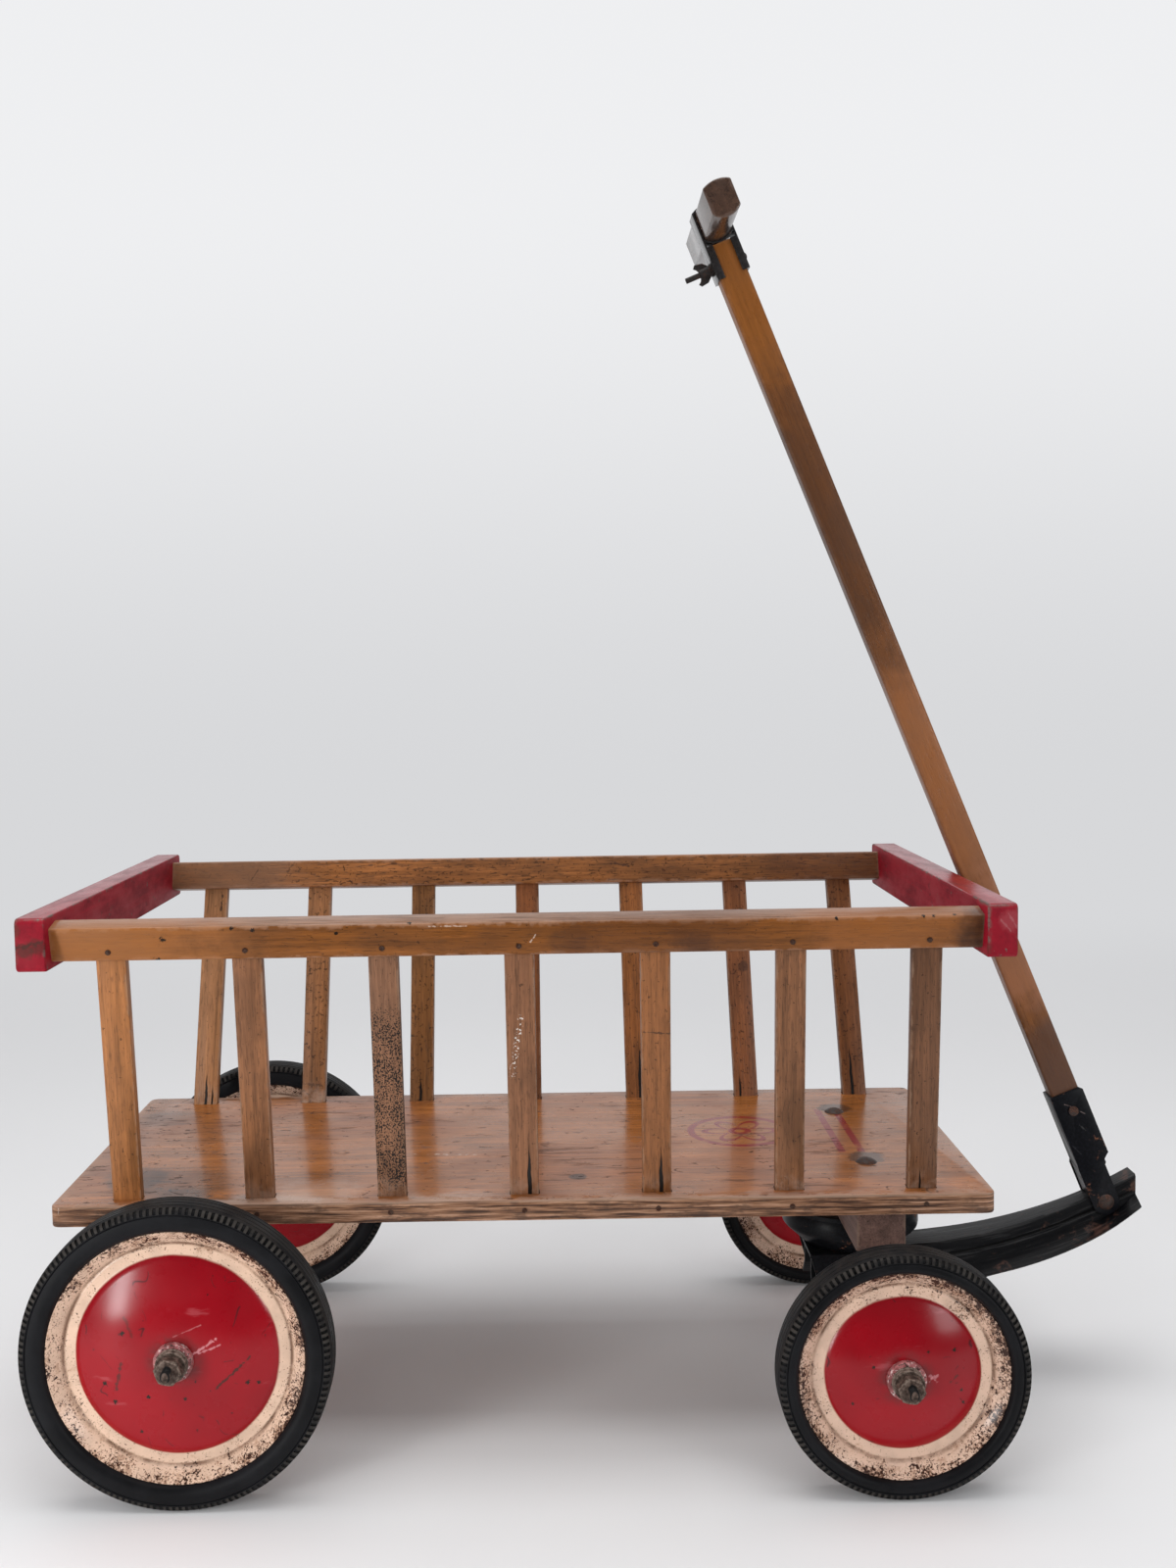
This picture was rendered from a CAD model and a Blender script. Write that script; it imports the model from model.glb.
import math

import bmesh
import bpy
from mathutils import Matrix, Vector


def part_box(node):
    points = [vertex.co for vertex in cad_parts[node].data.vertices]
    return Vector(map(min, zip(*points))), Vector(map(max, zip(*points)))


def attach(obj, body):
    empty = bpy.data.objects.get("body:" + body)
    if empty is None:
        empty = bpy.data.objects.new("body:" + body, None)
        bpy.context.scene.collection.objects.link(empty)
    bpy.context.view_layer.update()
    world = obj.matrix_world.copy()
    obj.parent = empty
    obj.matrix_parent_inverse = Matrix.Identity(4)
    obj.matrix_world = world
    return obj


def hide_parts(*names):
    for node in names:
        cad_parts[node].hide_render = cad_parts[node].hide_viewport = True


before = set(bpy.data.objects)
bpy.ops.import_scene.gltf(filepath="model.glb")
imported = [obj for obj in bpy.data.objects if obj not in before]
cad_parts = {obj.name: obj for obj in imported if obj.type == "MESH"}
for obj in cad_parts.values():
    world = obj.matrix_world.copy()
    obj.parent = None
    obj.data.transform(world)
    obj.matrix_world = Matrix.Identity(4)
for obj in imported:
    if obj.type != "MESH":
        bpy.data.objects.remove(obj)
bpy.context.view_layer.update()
mm = 0.001
quarterTurn = math.pi / 2
print("frame loaded:", len(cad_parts), "parts")


# making and shaping pieces

def boxOf(node):
    low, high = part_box(node)
    return (low + high) / 2, high - low


def moved(place):
    return Matrix.Translation(place)


def turned(angle, axis):
    return Matrix.Rotation(angle, 4, axis)


def activate(piece):
    bpy.ops.object.select_all(action="DESELECT")
    piece.select_set(True)
    bpy.context.view_layer.objects.active = piece


def nameActive(name):
    piece = bpy.context.active_object
    piece.name = name
    piece.data.name = name
    return piece


def startBox(name, size, centre=(0, 0, 0)):
    bpy.ops.mesh.primitive_cube_add(size=1, location=centre, scale=size)
    bpy.ops.object.transform_apply()
    return nameActive(name)


def startEdit(piece, kind, action="DESELECT"):
    activate(piece)
    bpy.ops.object.mode_set(mode="EDIT")
    bpy.ops.mesh.select_mode(type=kind)
    bpy.ops.mesh.select_all(action=action)


def endEdit():
    bpy.ops.object.mode_set(mode="OBJECT")


# selects those of a mesh's edges or faces that pass a test
def pick(piece, kind, test):
    mesh = bmesh.from_edit_mesh(piece.data)
    for part in getattr(mesh, kind):
        if test(part):
            part.select_set(True)
    bmesh.update_edit_mesh(piece.data)


def editEdges(piece, test):
    def passes(edge):
        start, end = [vertex.co for vertex in edge.verts]
        return test((start + end) / 2, (end - start).normalized())

    startEdit(piece, "EDGE")
    pick(piece, "edges", passes)


def roundEdges(piece, width, segments, test):
    editEdges(piece, test)
    bpy.ops.mesh.bevel(offset=width * mm, segments=segments, affect="EDGES", clamp_overlap=True)
    endEdit()


def runsAlong(axis):
    return lambda middle, way: abs(way[axis]) > 0.99


def runsAcross(axis):
    return lambda middle, way: abs(way[axis]) < 0.01


# the outline holds (radius, distance along Y) in millimetres; it is turned about Y
def turn(name, outline, steps):
    bpy.ops.mesh.primitive_plane_add(size=mm)
    piece = nameActive(name)
    startEdit(piece, "VERT", "SELECT")
    bpy.ops.mesh.merge(type="CENTER")
    points = [Vector((radius, along, 0)) * mm for radius, along in outline]
    bpy.ops.transform.translate(value=points[0])
    for last, point in zip(points, points[1:]):
        bpy.ops.mesh.extrude_vertices_move(TRANSFORM_OT_translate={"value": point - last})
    bpy.ops.mesh.select_all(action="SELECT")
    bpy.ops.mesh.spin(steps=steps, angle=2 * math.pi, center=(0, 0, 0), axis=(0, 1, 0))
    bpy.ops.mesh.select_all(action="SELECT")
    bpy.ops.mesh.remove_doubles(threshold=0.002 * mm)
    bpy.ops.mesh.normals_make_consistent(inside=False)
    endEdit()
    return piece


def mirrored(outline):
    return outline + [(reach, -along) for reach, along in reversed(outline)]


def place(piece, matrix):
    activate(piece)
    piece.matrix_world = matrix
    bpy.ops.object.transform_apply()
    return piece


def copyOf(piece, name):
    activate(piece)
    bpy.ops.object.duplicate()
    return nameActive(name)


def joinInto(piece, others):
    activate(piece)
    for other in others:
        other.select_set(True)
    bpy.ops.object.join()
    return piece


def remove(*pieces):
    for piece in pieces:
        bpy.data.objects.remove(piece)


def cutAway(piece, cutter, operation="DIFFERENCE"):
    activate(piece)
    modifier = piece.modifiers.new("cut", "BOOLEAN")
    modifier.object = cutter
    modifier.operation = operation
    modifier.solver = "EXACT"
    bpy.ops.object.modifier_apply(modifier=modifier.name)
    remove(cutter)


# a folded or pressed part keeps its shape and gets rounded outer edges
def softened(name, node, width, segments=3, angle=35):
    piece = copyOf(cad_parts[node], name)
    piece.parent = None
    for key in list(piece.keys()):
        del piece[key]
    startEdit(piece, "VERT", "SELECT")
    bpy.ops.mesh.remove_doubles(threshold=0.003 * mm)
    bpy.ops.mesh.dissolve_limited(angle_limit=math.radians(0.6))
    bpy.ops.mesh.select_mode(type="EDGE")
    bpy.ops.mesh.select_all(action="DESELECT")
    sharp = math.radians(angle)
    pick(piece, "edges", lambda edge: edge.is_manifold and edge.is_convex and edge.calc_face_angle() > sharp)
    bpy.ops.mesh.bevel(offset=width * mm, segments=segments, affect="EDGES", clamp_overlap=True,
                       miter_outer="ARC")
    endEdit()
    return piece


def settle(piece, body, node, material, angle=35):
    activate(piece)
    bpy.ops.object.shade_smooth_by_angle(angle=math.radians(angle))
    piece.data.materials.clear()
    piece.data.materials.append(material)
    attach(piece, body)
    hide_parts(node)


def dress(material, *nodes):
    for node in nodes:
        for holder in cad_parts[node].material_slots:
            holder.material = material


# shader building

# a socket that takes part in sums
class Wire:
    def __init__(self, socket):
        self.socket = socket
        self.tree = socket.id_data

    __add__ = __radd__ = lambda self, other: maths("ADD", self, other)
    __sub__ = lambda self, other: maths("SUBTRACT", self, other)
    __rsub__ = lambda self, other: maths("SUBTRACT", other, self)
    __mul__ = __rmul__ = lambda self, other: maths("MULTIPLY", self, other)
    __truediv__ = lambda self, other: maths("DIVIDE", self, other)
    __abs__ = lambda self: maths("ABSOLUTE", self)


def feed(socket, value):
    if isinstance(value, Wire):
        value.tree.links.new(value.socket, socket)
    else:
        socket.default_value = value


def addNode(tree, kind, inputs, output=0, **settings):
    made = tree.nodes.new(kind)
    for key, value in settings.items():
        setattr(made, key, value)
    for key, value in inputs.items():
        feed(made.inputs[key], value)
    return Wire(made.outputs[output])


def treeOf(*values):
    return next(value.tree for value in values if isinstance(value, Wire))


def maths(operation, *values):
    return addNode(treeOf(*values), "ShaderNodeMath", dict(enumerate(values)), operation=operation)


def larger(first, *others):
    for other in others:
        first = maths("MAXIMUM", first, other)
    return first


def smaller(first, second):
    return maths("MINIMUM", first, second)


def remap(value, low, high, outLow=0.0, outHigh=1.0):
    ends = {"Value": value, "From Min": low, "From Max": high, "To Min": outLow, "To Max": outHigh}
    return addNode(value.tree, "ShaderNodeMapRange", ends, interpolation_type="SMOOTHSTEP")


def mixColour(amount, first, second):
    first, second = [(*value, 1) if isinstance(value, tuple) else value for value in (first, second)]
    ends = {0: amount, 6: first, 7: second}
    return addNode(treeOf(amount, first, second), "ShaderNodeMix", ends, 2, data_type="RGBA")


# a colour with others laid over it, each by its own amount
def layers(colour, *others):
    for amount, tint in others:
        colour = mixColour(amount, colour, tint)
    return colour


def vectorMath(operation, first, second=(0, 0, 0)):
    output = "Value" if operation in ("LENGTH", "DISTANCE", "DOT_PRODUCT") else 0
    return addNode(first.tree, "ShaderNodeVectorMath", {0: first, 1: second}, output, operation=operation)


def stretch(vector, amounts):
    return vectorMath("MULTIPLY", vector, amounts)


def shift(vector, amounts):
    return vectorMath("ADD", vector, amounts)


def allOutputs(made):
    return {socket.name: Wire(socket) for socket in made.socket.node.outputs}


def axes(vector):
    return tuple(allOutputs(addNode(vector.tree, "ShaderNodeSeparateXYZ", {0: vector})).values())


def length(vector):
    return vectorMath("LENGTH", vector)


def noise(vector, scale, detail=3.0, roughness=0.5, distortion=0.0):
    inputs = {"Vector": vector, "Scale": scale, "Detail": detail, "Roughness": roughness,
              "Distortion": distortion}
    return addNode(vector.tree, "ShaderNodeTexNoise", inputs)


def colourSteps(value, steps):
    made = addNode(value.tree, "ShaderNodeValToRGB", {0: value})
    stops = made.socket.node.color_ramp.elements
    while len(stops) < len(steps):
        stops.new(0.5)
    for stop, (position, colour) in zip(stops, steps):
        stop.position = position
        stop.color = (*colour, 1)
    return made


def coordinates(shader, kind="Object"):
    return addNode(shader.id_data, "ShaderNodeTexCoord", {}, kind)


# coordinates that run along a piece, from its own middle
def localVector(shader, matrix):
    inputs = {"Vector": coordinates(shader), "Location": matrix.translation, "Rotation": matrix.to_euler()}
    return addNode(shader.id_data, "ShaderNodeMapping", inputs, vector_type="TEXTURE")


def startGroup(name, **inputs):
    group = bpy.data.node_groups.new(name, "ShaderNodeTree")
    for label, value in inputs.items():
        kind = "NodeSocketVector" if isinstance(value, tuple) else "NodeSocketFloat"
        socket = group.interface.new_socket(name=label, in_out="INPUT", socket_type=kind)
        socket.default_value = value
    return group, [Wire(socket) for socket in group.nodes.new("NodeGroupInput").outputs[:-1]]


def endGroup(group, **results):
    for label in results:
        group.interface.new_socket(name=label, in_out="OUTPUT", socket_type="NodeSocketFloat")
    ends = group.nodes.new("NodeGroupOutput").inputs
    for label, value in results.items():
        feed(ends[label], value)
    return group


# one wire from a group with one output, else a dictionary of them
def useGroup(group, vector, **inputs):
    made = addNode(vector.tree, "ShaderNodeGroup", {"Vector": vector, **inputs}, node_tree=group)
    wires = allOutputs(made)
    return wires if len(wires) > 1 else made


def makeWoodGrain():
    group, (vector, warp) = startGroup("woodGrain", Vector=(0, 0, 0), Warp=0.5)
    pore = noise(stretch(vector, (85, 850, 850)), 1, 2, 0.5)
    return endGroup(group, Fibre=noise(stretch(vector, (24, 680, 680)), 1, 3, 0.6),
                    Streak=noise(stretch(vector, (7, 240, 240)), 1, 4, 0.6, warp),
                    Figure=noise(stretch(vector, (3.2, 62, 62)), 1, 3, 0.55, warp),
                    Pore=remap(pore, 0.57, 0.66))


# how near a point is to the edges of a box of half size Half
def makeBoxEdges():
    group, (vector, half, width) = startGroup("boxEdges", Vector=(0, 0, 0), Half=(0, 0, 0), Width=0.003)
    x, y, z = axes(vectorMath("SUBTRACT", half, vectorMath("ABSOLUTE", vector)))
    least = smaller(smaller(x, y), z)
    middle = x + y + z - least - larger(x, y, z)
    ragged = remap(noise(vector, 70, 4, 0.65), 0.3, 0.7, 0.05, 1.9)
    return endGroup(group, Edge=remap(middle, width * ragged, 0.0))


# ragged spots, more of them as Amount rises
def makeSpeckle():
    group, (vector, scale, amount) = startGroup("speckle", Vector=(0, 0, 0), Scale=500.0, Amount=0.0)
    return endGroup(group, Spot=remap(noise(vector, scale, 3, 0.62) + amount, 0.66, 0.69))


# broken hair lines, more of them as Amount rises
def makeScratches():
    group, (vector, scale, width, amount) = startGroup("scratches", Vector=(0, 0, 0), Scale=30.0,
                                                       Width=0.004, Amount=0.0)
    line = remap(abs(noise(vector, scale, 1, 0.4, 0.6) - 0.5), width, 0.0)
    broken = noise(vector, scale * 2.7, 2) + amount
    return endGroup(group, Line=line * remap(broken, 0.58, 0.62))


# dust lying on what faces up
def makeDust():
    group, (vector, facing, scale) = startGroup("dust", Vector=(0, 0, 0), Facing=(0, 0, 0), Scale=40.0)
    patchy = remap(noise(vector, scale, 5, 0.65), 0.3, 0.75)
    return endGroup(group, Dust=remap(axes(facing)[2], 0.2, 0.95) * patchy)


woodGrain = makeWoodGrain()
boxEdges = makeBoxEdges()
speckle = makeSpeckle()
scratches = makeScratches()
dust = makeDust()


def startMaterial(name, **constants):
    material = bpy.data.materials.new(name)
    material.use_nodes = True
    shader = material.node_tree.nodes["Principled BSDF"]
    for key, value in constants.items():
        shader.inputs[key.replace("_", " ")].default_value = value
    return material, shader


def finishMaterial(material, colour, rough, height, depth):
    bump = {"Height": height, "Distance": depth * mm, "Strength": 1.0}
    inputs = material.node_tree.nodes["Principled BSDF"].inputs
    feed(inputs["Base Color"], colour)
    feed(inputs["Roughness"], rough)
    feed(inputs["Normal"], addNode(material.node_tree, "ShaderNodeBump", bump))
    return material


def shade(colour, amount):
    return tuple(min(1, part * amount) for part in colour)


# one tone, darker and lighter: (where, how light) for each step
def toneSteps(value, tone, *steps):
    return colourSteps(value, [(where, shade(tone, amount)) for where, amount in steps])


def facingUp(shader, low=0.55, high=0.9):
    return remap(axes(coordinates(shader, "Normal"))[2], low, high)


pitTone = (0.012, 0.007, 0.004)


# 1 within radius of a point, fading out over soft; all in millimetres
def spotMask(vector, point, radius, soft, ragged=0.0):
    reach = vectorMath("DISTANCE", vector, Vector(point) * mm)
    if ragged:
        edge = noise(vector, 0.9 / (radius * mm), 4, 0.7)
        reach = reach + remap(edge, 0.3, 0.7, -ragged * mm, ragged * mm)
    return remap(reach, (radius + soft) * mm, radius * mm)


# a scratch from one point to another, thinning out at both ends
def strokeMask(vector, start, end, width):
    along = (Vector(end) - Vector(start)) * mm
    offset = shift(vector, -(Vector(start) * mm))
    share = smaller(larger(vectorMath("DOT_PRODUCT", offset, along) / along.length_squared, 0), 1)
    nearest = addNode(vector.tree, "ShaderNodeVectorMath", {0: along, "Scale": share}, operation="SCALE")
    ragged = remap(noise(vector, 260, 3, 0.6), 0.3, 0.7, -0.7 * width * mm, 0.7 * width * mm)
    return remap(vectorMath("DISTANCE", offset, nearest) + ragged, 0.8 * width * mm, 0.35 * width * mm)


# soft patches, scratches and dark pits, given one by one; where a place has two numbers
# the third comes from "face", which holds an axis and the distance along it
def addMarks(vector, look, colour):
    axis, depth = look.get("face", (0, 0))

    def whole(point):
        return point if len(point) == 3 else (*point[:axis], depth, *point[axis:])

    for *point, radius, soft, tint, amount in look.get("patches", ()):
        colour = mixColour(spotMask(vector, whole(point), radius, soft, 0.3 * soft) * amount, colour, tint)
    for start, end, width, tint, amount in look.get("strokes", ()):
        colour = mixColour(strokeMask(vector, whole(start), whole(end), width) * amount, colour, tint)
    for *point, radius in look.get("pits", ()):
        colour = mixColour(spotMask(vector, whole(point), radius, 0.3, 0.7 * radius), colour, pitTone)
    return colour


# woods; a place is a matrix whose X runs along the grain

varnish = {
    "roughness": 0.4,
    "coat": 0.35,         # on what faces up
    "sideCoat": 0.0,      # on all the rest
    "gloss": 0.3,
    "topDust": 0.0,
    "contrast": 1.0,      # how far the grain's dark and light stand apart
    "pores": 0.4,
    "specks": 0.0,
    "wear": 1.6,          # width of worn edges, mm
    "wearAmount": 0.6,
    "wearColour": (0.30, 0.19, 0.125),
    "grime": 0.4,
    "warp": 0.5,
    "relief": 0.12,
}


def woodMaterial(name, matrix, half, tone, seed, **changes):
    look = {**varnish, **changes}
    material, shader = startMaterial(name, Coat_Roughness=0.14, Specular_IOR_Level=look["gloss"])
    local = localVector(shader, matrix)
    vector = shift(local, (seed * 0.37, seed * 0.11, seed * 0.23))
    grain = useGroup(woodGrain, vector, Warp=look["warp"])
    mixed = grain["Fibre"] * 0.3 + grain["Streak"] * 0.4 + grain["Figure"] * 0.3
    spread = 0.45 * look["contrast"]
    broad = noise(stretch(vector, (1, 2, 2)), 13, 4, 0.6)
    above = facingUp(shader)
    worn = useGroup(boxEdges, local, Half=half, Width=look["wear"] * mm) * look["wearAmount"]
    colour = layers(
        toneSteps(mixed, tone, (0.37, 1 - spread), (0.46, 0.88), (0.53, 1.1), (0.63, 1 + spread)),
        (grain["Pore"] * look["pores"], shade(tone, 0.22)),
        (remap(broad, 0.45, 0.68) * look["grime"], shade(tone, 0.32)),
        (useGroup(speckle, vector, Scale=300, Amount=look["specks"]) * 0.75, shade(tone, 0.14)),
        (worn, look["wearColour"]),
        (above * look["topDust"] * remap(grain["Fibre"], 0.38, 0.56, 0.3, 1.2), (0.42, 0.26, 0.18)))
    rough = look["roughness"] + worn * 0.3 + remap(broad, 0.35, 0.7, -0.07, 0.12)
    height = grain["Fibre"] - grain["Pore"] * 0.8
    colour, rough, height = addWoodMarks(local, vector, look, colour, rough, height)
    feed(shader.inputs["Coat Weight"], remap(above, 0, 1, look["sideCoat"], look["coat"]))
    return finishMaterial(material, colour, rough, height, look["relief"])


# a dark split that runs with the grain from one end; all in millimetres
def splitMask(local, across, length, width):
    x, y, z = axes(local)
    wander = remap(noise(stretch(local, (1, 0, 0)), 40, 3), 0.3, 0.7, -0.6 * mm, 0.6 * mm)
    side = z + across * mm - wander
    taper = remap(x - slat["splitsFrom"] * mm, length * mm, 0.25 * length * mm)
    return remap(taper * (width * mm) - abs(side), -0.1 * mm, 0.3 * mm)


def addWoodMarks(local, vector, look, colour, rough, height):
    x, y, z = axes(local)
    if "mould" in look:
        low, high, strength = look["mould"]
        reach = smaller(remap(x, high * mm, (high - 45) * mm), remap(x, low * mm, (low + 30) * mm))
        amount = reach * remap(noise(vector, 60, 3), 0.36, 0.6, 0.78, 1.05) * strength
        mould = useGroup(speckle, stretch(vector, (0.8, 1, 1)), Scale=720, Amount=amount - 0.05)
        colour = mixColour(mould * reach, colour, (0.008, 0.007, 0.006))
        rough = rough + amount * 0.8
    if "paint" in look:
        low, high = look["paint"]
        where = (x - low * mm) / ((high - low) * mm)
        track = abs(z + where * (9 * mm) - 8.5 * mm)
        near = remap(track, 3.4 * mm, 1.2 * mm) * remap(abs(where - 0.5), 0.52, 0.45)
        drops = useGroup(speckle, shift(vector, (3.1, 1.7, 0.4)), Scale=520, Amount=0.09)
        colour = mixColour(drops * near, colour, (0.78, 0.74, 0.68))
    if "bloom" in look:
        pale = remap(noise(vector, 55, 4, 0.7), 0.4, 0.62) * remap(x, -0.088, -0.114)
        colour = mixColour(pale * look["bloom"], colour, (0.36, 0.25, 0.19))
    for split in look.get("splits", ()):
        mask = splitMask(local, *split)
        colour = mixColour(mask, colour, (0.008, 0.006, 0.005))
        height = height - mask * 6.0
    return addMarks(local, look, colour), rough, height


# the deck board

scorched = (0.028, 0.014, 0.01)
chalky = (0.62, 0.5, 0.42)
deckMiddle, deckSize = boxOf("deck")
deckBoard = {
    "corner": 8.0,        # plan radius, mm
    "edge": 1.2,
    "plies": 7,
    "thick": deckSize.z / mm,
    "tone": (0.29, 0.1, 0.025),
    "roughness": 0.26,
    "printColour": (0.19, 0.004, 0.008),
    "face": (2, 6),       # marks lie at this height above the middle, mm
    "patches": (          # place, radius, softness, colour, amount
        (310, 93, 13, 7, scorched, 0.75), (310.5, -68.6, 13, 8, scorched, 0.75),
        (48, -111, 7, 3, scorched, 0.75), (-345, -98, 20, 16, scorched, 0.65),
        (-292, -158, 16, 22, scorched, 0.6), (-250, -168, 14, 18, scorched, 0.45),
        (-362, 95, 20, 18, scorched, 0.35), (-300, -120, 28, 28, scorched, 0.45),
        (-180, -150, 20, 30, chalky, 0.22), (-60, -196, 30, 30, chalky, 0.3),
        (-210, -196, 36, 26, chalky, 0.3), (90, -198, 26, 22, chalky, 0.22),
        (340, -208, 0, 9, 4, scorched, 0.8),
    ),
    "strokes": (          # start, end, width, colour, amount
        ((147, -95), (148, -112), 2.2, scorched, 0.85), ((152, -104), (187, -111), 2.4, scorched, 0.8),
        ((176, -88), (191, -86), 1.8, scorched, 0.8), ((166, -120), (210, -126), 1.8, scorched, 0.6),
        ((-106, -38), (-44, -42), 3.2, chalky, 0.6), ((-112, 60), (-108, 48), 2, scorched, 0.7),
        ((-180, 20), (-176, -6), 1.4, scorched, 0.5), ((18, 62), (30, 40), 1.2, scorched, 0.5),
        ((-330, -20), (-262, -30), 1.6, scorched, 0.5), ((-372, -52), (-330, -60), 3.6, scorched, 0.6),
        ((-352, -84), (-322, -88), 3.6, scorched, 0.8), ((-336, -104), (-300, -110), 4, scorched, 0.85),
        ((-318, -128), (-286, -134), 4.4, scorched, 0.85), ((-296, -142), (-262, -150), 3.6, scorched, 0.8),
        ((-270, -124), (-248, -128), 3, scorched, 0.75), ((-226, -140), (-206, -146), 3, scorched, 0.65),
        ((-150, -90), (-122, -93), 1.4, scorched, 0.6), ((-84, -58), (-30, -55), 1.8, chalky, 0.5),
    ),
}
rosette = {
    "centre": (0.206, 0.02, 0),
    "rings": ((47, 4.6), (8, 4.2)),     # radius, half width
    "petals": 3,          # pairs
    "petalReach": (0.012, 0.022),
    "stripes": (0.086, 0.104),
    "stripeEnd": 0.072,
}


# generic folk rosette: two rings, six petals and a pair of stripes, faded
def deckPrint(local):
    spot = shift(local, -Vector(rosette["centre"]))
    x, y, z = axes(spot)
    reach = length(stretch(spot, (1, 1, 0)))
    least, more = rosette["petalReach"]
    petal = abs(maths("COSINE", maths("ARCTAN2", y, x) * rosette["petals"]))
    rings = [remap(abs(reach - radius * mm), width * mm, 0.5 * width * mm)
             for radius, width in rosette["rings"]]
    lines = larger(*rings, remap(abs(reach - (least + petal * more)), 4.0 * mm, 2.6 * mm))
    within = remap(abs(y), rosette["stripeEnd"], rosette["stripeEnd"] - 2 * mm)
    for along in rosette["stripes"]:
        lines = larger(lines, within * remap(abs(x - along), 3.6 * mm, 3 * mm))
    return lines


def deckMaterial():
    look = deckBoard
    tone = look["tone"]
    material, shader = startMaterial("deckPlywood", Coat_Weight=0.18, Coat_Roughness=0.1,
                                     Specular_IOR_Level=0.3)
    local = localVector(shader, moved(deckMiddle))
    x, y, z = axes(local)
    grain = useGroup(woodGrain, local, Warp=1.1)
    swirl = noise(stretch(local, (2.6, 22, 22)), 1, 5, 0.62, 1.6)
    mixed = swirl * 0.55 + grain["Streak"] * 0.45
    broad = noise(local, 6, 4, 0.6)
    onTop = facingUp(shader)
    ink = deckPrint(local) * remap(noise(local, 60, 4, 0.7), 0.22, 0.5) * onTop
    busier = remap(x, -0.16, -0.3, 0.02, 0.1)
    cuts = useGroup(scratches, stretch(local, (1, 2.4, 1)), Scale=13, Width=0.008, Amount=busier)
    smudge = noise(stretch(local, (16, 90, 90)), 1, 5, 0.72, 0.6) + remap(broad, 0.35, 0.7, -0.06, 0.05)
    specks = useGroup(speckle, stretch(local, (0.5, 1, 1)), Scale=170, Amount=busier * 0.3)
    marks = larger(cuts, specks, remap(smudge, 0.57, 0.65, 0.0, 0.6))
    whitened = useGroup(boxEdges, local, Half=deckSize / 2, Width=13 * mm) * 0.6
    upright = 1 - larger(onTop, facingUp(shader, -0.55, -0.9))
    colour = layers(
        toneSteps(mixed, tone, (0.35, 0.5), (0.45, 0.86), (0.54, 1.15), (0.66, 1.6)),
        (remap(broad, 0.46, 0.66, 0.0, 0.4), (0.19, 0.06, 0.028)),
        (grain["Pore"] * 0.45, shade(tone, 0.3)),
        (ink * 0.95, look["printColour"]),
        (remap(grain["Fibre"], 0.34, 0.46, 0.35, 0.0), shade(tone, 0.45)),
        (marks * 0.85, (0.05, 0.021, 0.013)))
    colour = layers(addMarks(local, look, colour), (whitened, (0.42, 0.27, 0.2)),
                    (upright, plyColour(local, z, broad)))
    rough = remap(broad, 0.3, 0.7, look["roughness"] - 0.08, look["roughness"] + 0.12)
    rough = rough + (marks + whitened) * 0.35 + upright * 0.45
    height = grain["Fibre"] * 0.35 - marks + noise(local, 9, 2) * 8
    return finishMaterial(material, colour, rough, height, 0.1)


# the plywood's edge: plies, soot and a worn upper corner
def plyColour(local, z, broad):
    thick = deckBoard["thick"]
    wavy = z + remap(noise(local, 9, 3), 0.3, 0.7, -1.2 * mm, 1.2 * mm)
    band = maths("SINE", wavy * (deckBoard["plies"] * math.pi / (thick * mm)))
    streaks = noise(stretch(local, (26, 26, 700)), 1, 4, 0.62) + band * 0.06
    plies = colourSteps(streaks, [(0.36, (0.045, 0.022, 0.014)), (0.46, (0.15, 0.072, 0.04)),
                                  (0.55, (0.24, 0.12, 0.066)), (0.66, (0.38, 0.22, 0.14))])
    soot = remap(noise(stretch(local, (1, 1, 3)), 30, 5, 0.7), 0.5, 0.64, 0.0, 0.6)
    plies = mixColour(soot, plies, (0.05, 0.028, 0.02))
    worn = remap(z, (0.5 * thick - 3) * mm, (0.5 * thick - 0.8) * mm) * remap(broad, 0.35, 0.6, 0.2, 0.8)
    plies = mixColour(worn, plies, (0.33, 0.22, 0.16))
    return addMarks(local, {"patches": deckBoard["patches"][-1:]}, plies)


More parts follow.
